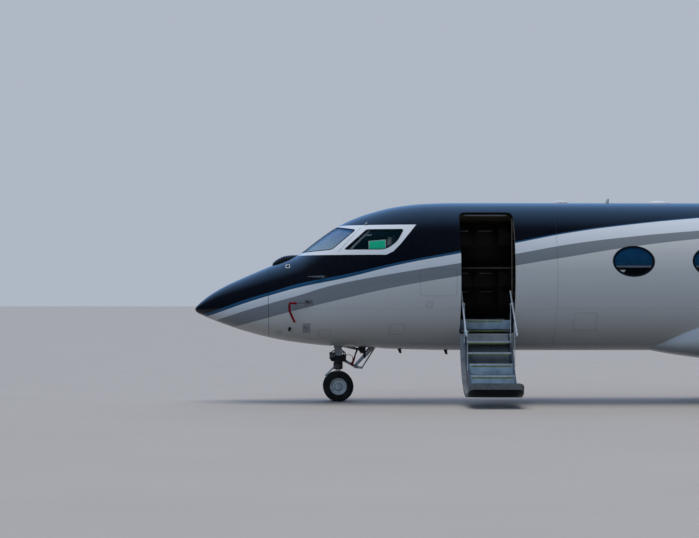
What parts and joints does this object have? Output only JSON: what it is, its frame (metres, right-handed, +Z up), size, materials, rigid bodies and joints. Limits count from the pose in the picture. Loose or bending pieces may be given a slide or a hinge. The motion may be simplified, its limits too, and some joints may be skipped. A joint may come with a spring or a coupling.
{
  "type": "business jet",
  "caption": "Large-cabin twin-engine business jet with T-tail and winglets, parked on its gear with the airstair door open and rails raised.",
  "frame": {"origin": "centre of the bounding box at ground level, under the middle of the fuselage", "axes": "+X aft towards the tail, +Y to starboard, +Z up; the entry door is on the port side at -Y"},
  "size_m": [27.78, 26.3142, 7.775],
  "materials": {
    "radome": "gloss paint over composite",
    "hull_paint": "gloss paint",
    "wing_paint": "gloss paint",
    "composite": "gloss paint over composite",
    "floor": "carpet over floor panels",
    "cabinetry": "veneer",
    "panel": "matte",
    "seats": "stitched leather",
    "glass": "polished",
    "stair": "satin",
    "rail": "polished",
    "engine": "bare metal",
    "fan": "bare metal",
    "gear": "gloss paint",
    "tyre": "rubber",
    "ribbon": "woven tape"
  },
  "bodies": {
    "airframe": {"radome": "radome", "fuselage_cockpit": "hull_paint", "fuselage_entry": "hull_paint", "fuselage_cabin": "hull_paint", "fuselage_tail": "hull_paint", "cockpit_floor": "floor", "entry_floor": "floor", "cabin_floor": "floor", "cockpit_bulkhead": "cabinetry", "cabin_bulkhead": "cabinetry", "aft_bulkhead": "cabinetry", "instrument_panel": "panel", "pilot_seat_left": "seats", "pilot_seat_right": "seats", "cabin_seats_left": "seats", "cabin_seats_right": "seats", "windshield_left": "glass", "windshield_right": "glass", "side_window_left": "glass", "side_window_right": "glass", "cabin_glass_left": "glass", "cabin_glass_right": "glass", "wing_left": "wing_paint", "wing_right": "wing_paint", "belly_fairing": "wing_paint", "fin": "composite", "tailplane": "composite", "nacelle_left": "composite", "nacelle_right": "composite", "pylon_left": "composite", "pylon_right": "composite", "engine_core_left": "engine", "engine_core_right": "engine", "nose_leg": "gear", "main_leg_left": "gear", "main_leg_right": "gear", "leg_door_left": "composite", "leg_door_right": "composite", "probe_ribbon_left": "ribbon", "probe_ribbon_right": "ribbon"},
    "entry_door": {"door_panel": "hull_paint", "airstair": "stair"},
    "rail_post_front_inner": {"rail_post_front_inner": "rail"},
    "rail_post_front_outer": {"rail_post_front_outer": "rail"},
    "handrail_front": {"handrail_front": "rail"},
    "rail_post_rear_inner": {"rail_post_rear_inner": "rail"},
    "rail_post_rear_outer": {"rail_post_rear_outer": "rail"},
    "handrail_rear": {"handrail_rear": "rail"},
    "nose_fork": {"nose_fork": "gear"},
    "nose_wheels": {"nose_wheels": "tyre"},
    "main_wheels_left": {"main_wheels_left": "tyre"},
    "main_wheels_right": {"main_wheels_right": "tyre"},
    "fan_left": {"fan_left": "fan"},
    "fan_right": {"fan_right": "fan"},
    "aileron_left": {"aileron_left": "wing_paint"},
    "aileron_right": {"aileron_right": "wing_paint"},
    "elevator_left": {"elevator_left": "composite"},
    "elevator_right": {"elevator_right": "composite"},
    "rudder": {"rudder": "composite"}
  },
  "joints": [
    {"name": "door_hinge", "type": "hinge", "parent": "airframe", "child": "entry_door", "pos_m": [-8.8675, -0.845, 1.195], "axis": [1, 0, 0], "range_deg": [-119, 0]},
    {"name": "post_front_inner", "type": "hinge", "parent": "entry_door", "child": "rail_post_front_inner", "pos_m": [-9.2615, -1.1, 1.06], "axis": [1, 0, 0], "range_deg": [0, 112.5]},
    {"name": "post_front_outer", "type": "hinge", "parent": "entry_door", "child": "rail_post_front_outer", "pos_m": [-9.2615, -1.75, 0.601], "axis": [1, 0, 0], "range_deg": [0, 112.5]},
    {"name": "rail_front", "type": "hinge", "parent": "rail_post_front_outer", "child": "handrail_front", "pos_m": [-9.291, -1.75, 1.241], "axis": [1, 0, 0], "range_deg": [-112.5, 0]},
    {"name": "post_rear_inner", "type": "hinge", "parent": "entry_door", "child": "rail_post_rear_inner", "pos_m": [-8.4735, -1.1, 1.06], "axis": [1, 0, 0], "range_deg": [0, 112.5]},
    {"name": "post_rear_outer", "type": "hinge", "parent": "entry_door", "child": "rail_post_rear_outer", "pos_m": [-8.4735, -1.75, 0.601], "axis": [1, 0, 0], "range_deg": [0, 112.5]},
    {"name": "rail_rear", "type": "hinge", "parent": "rail_post_rear_outer", "child": "handrail_rear", "pos_m": [-8.444, -1.75, 1.241], "axis": [1, 0, 0], "range_deg": [-112.5, 0]},
    {"name": "nose_steering", "type": "hinge", "parent": "airframe", "child": "nose_fork", "pos_m": [-11.39, 0, 0.69], "axis": [0, 0, 1], "range_deg": [-80, 80]},
    {"name": "nose_wheel_spin", "type": "hinge", "parent": "nose_fork", "child": "nose_wheels", "pos_m": [-11.39, 0, 0.265], "axis": [0, 1, 0], "continuous": true},
    {"name": "main_wheel_spin_left", "type": "hinge", "parent": "airframe", "child": "main_wheels_left", "pos_m": [0.26, -2.18, 0.445], "axis": [0, 1, 0], "continuous": true},
    {"name": "main_wheel_spin_right", "type": "hinge", "parent": "airframe", "child": "main_wheels_right", "pos_m": [0.26, 2.18, 0.445], "axis": [0, 1, 0], "continuous": true},
    {"name": "fan_spin_left", "type": "hinge", "parent": "airframe", "child": "fan_left", "pos_m": [4.4, -2.23, 2.72], "axis": [1, 0, 0], "continuous": true},
    {"name": "fan_spin_right", "type": "hinge", "parent": "airframe", "child": "fan_right", "pos_m": [4.4, 2.23, 2.72], "axis": [1, 0, 0], "continuous": true},
    {"name": "aileron_right", "type": "hinge", "parent": "airframe", "child": "aileron_right", "pos_m": [3.2124, 9.3, 1.6565], "axis": [0.4816, 0.8747, 0.0544], "range_deg": [-15, 15]},
    {"name": "aileron_left", "type": "hinge", "parent": "airframe", "child": "aileron_left", "pos_m": [3.2124, -9.3, 1.6565], "axis": [0.4816, -0.8747, 0.0544], "range_deg": [-15, 15]},
    {"name": "elevator_right", "type": "hinge", "parent": "airframe", "child": "elevator_right", "pos_m": [11.8346, 0.78, 7.56], "axis": [0.3689, 0.9295, 0], "range_deg": [-24, 13]},
    {"name": "elevator_left", "type": "hinge", "parent": "airframe", "child": "elevator_left", "pos_m": [11.8346, -0.78, 7.56], "axis": [0.3689, -0.9295, 0], "range_deg": [-13, 24]},
    {"name": "rudder", "type": "hinge", "parent": "airframe", "child": "rudder", "pos_m": [10.0016, 0, 4.2], "axis": [0.4453, 0, 0.8954], "range_deg": [-22, 22]}
  ],
  "couplings": [
    {"joint": "post_front_inner", "follows": "door_hinge", "ratio": -0.94118},
    {"joint": "post_front_outer", "follows": "door_hinge", "ratio": -0.94118},
    {"joint": "rail_front", "follows": "door_hinge", "ratio": 0.94118},
    {"joint": "post_rear_inner", "follows": "door_hinge", "ratio": -0.94118},
    {"joint": "post_rear_outer", "follows": "door_hinge", "ratio": -0.94118},
    {"joint": "rail_rear", "follows": "door_hinge", "ratio": 0.94118},
    {"joint": "aileron_left", "follows": "aileron_right", "ratio": 1},
    {"joint": "elevator_left", "follows": "elevator_right", "ratio": -1}
  ]
}
